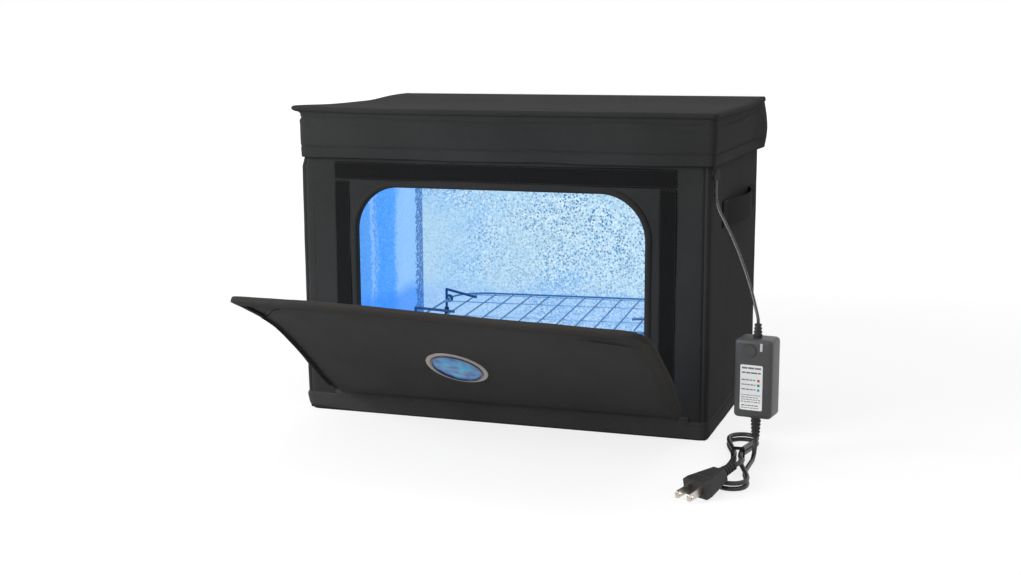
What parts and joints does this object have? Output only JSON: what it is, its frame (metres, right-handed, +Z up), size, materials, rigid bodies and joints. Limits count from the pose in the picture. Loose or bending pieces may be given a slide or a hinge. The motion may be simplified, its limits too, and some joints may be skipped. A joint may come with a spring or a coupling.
{
  "type": "uv sanitizer box",
  "caption": "A soft-sided box with a lift-up lid, a drop-down front flap, an ultraviolet lamp and a wire rack inside, fed through an inline timer with a push button.",
  "frame": {"origin": "centre of the bottom cover, on the table", "axes": "+X to the right seen from the front, +Y to the back, +Z up; the flap opens towards -Y"},
  "size_m": [0.4808, 0.4425, 0.3],
  "materials": {
    "weave": "woven charcoal polyester cover",
    "weave_dark": "darker grosgrain binding and hem tape",
    "webbing": "black webbing, box-stitched ends",
    "hook_loop": "black hook-and-loop tape",
    "board": "grey polypropylene stiffening board",
    "foil": "reflective laminated foil, lit blue in use",
    "wire": "coated round steel wire",
    "rubber": "soft black rubber",
    "lamp_metal": "bright folded sheet",
    "lamp_plastic": "white moulded plastic",
    "quartz": "clear quartz tube",
    "case": "fine-grained dark grey moulding",
    "key": "dark grey moulded key",
    "label": "white film with plain printed rows",
    "circuit": "green circuit board with parts",
    "light_pipe": "clear light pipe",
    "jacket": "black flexible cord jacket",
    "contact": "nickel-plated blades",
    "badge_metal": "satin metal rim",
    "badge_film": "plain blue film, lettering left off"
  },
  "bodies": {
    "body": {"cover_front": "weave", "cover_back": "weave", "cover_left": "weave", "cover_right": "weave", "cover_bottom": "weave_dark", "rim_binding": "weave_dark", "window_binding": "weave_dark", "hem_band": "weave_dark", "handle_left": "webbing", "handle_right": "webbing", "loop_strip_top": "hook_loop", "loop_strips_side": "hook_loop", "cord_tie": "hook_loop", "board_front": "board", "board_back": "board", "board_left": "board", "board_right": "board", "board_bottom": "board", "lining_front": "foil", "lining_back": "foil", "lining_left": "foil", "lining_right": "foil", "lining_bottom": "foil", "cable_grommet": "rubber", "lamp_channel": "lamp_metal", "lamp_holders": "lamp_plastic", "lamp_caps": "lamp_plastic", "lamp_driver": "lamp_plastic", "inner_lead": "lamp_plastic", "lamp_tube": "quartz", "adapter_front": "case", "adapter_back": "case", "lead_relief": "case", "mains_relief": "case", "timer_label": "label", "adapter_board": "circuit", "light_pipe": "light_pipe", "lead_cable": "jacket", "mains_drop": "jacket", "mains_hank": "jacket", "mains_tail": "jacket", "plug_body": "jacket", "plug_blades": "contact"},
    "lid": {"lid_cover": "weave", "lid_board": "board", "lid_lining": "foil", "lid_skirt": "weave"},
    "flap": {"flap_cover": "weave", "flap_board": "board", "flap_lining": "foil", "flap_binding": "weave_dark", "hook_strips": "hook_loop", "badge_rim": "badge_metal", "badge_film": "badge_film"},
    "rack": {"rack_grid": "wire"},
    "left_leg": {"leg_left": "wire", "leg_sleeves_left": "rubber"},
    "right_leg": {"leg_right": "wire", "leg_sleeves_right": "rubber"},
    "button": {"timer_button": "key"}
  },
  "joints": [
    {"name": "lid_hinge", "type": "hinge", "parent": "body", "child": "lid", "pos_m": [0, 0.1274, 0.2958], "axis": [-1, 0, 0], "range_deg": [0, 180]},
    {"name": "flap_hinge", "type": "hinge", "parent": "body", "child": "flap", "pos_m": [0, -0.1279, 0.022], "axis": [1, 0, 0], "range_deg": [-57, 36]},
    {"name": "rack_lift", "type": "slide", "parent": "body", "child": "rack", "axis": [0, 0, 1], "range_m": [0, 0.1]},
    {"name": "left_leg_fold", "type": "hinge", "parent": "rack", "child": "left_leg", "pos_m": [-0.11652, -0.00098, 0.085], "axis": [0.0872, -0.9962, 0], "range_deg": [0, 80]},
    {"name": "right_leg_fold", "type": "hinge", "parent": "rack", "child": "right_leg", "pos_m": [0.13452, 0.02098, 0.085], "axis": [-0.0872, 0.9962, 0], "range_deg": [0, 80]},
    {"name": "button_press", "type": "slide", "parent": "body", "child": "button", "axis": [0.1392, 0.9903, 0], "range_m": [0, 0.0008], "stiffness_N_per_m": 300}
  ]
}
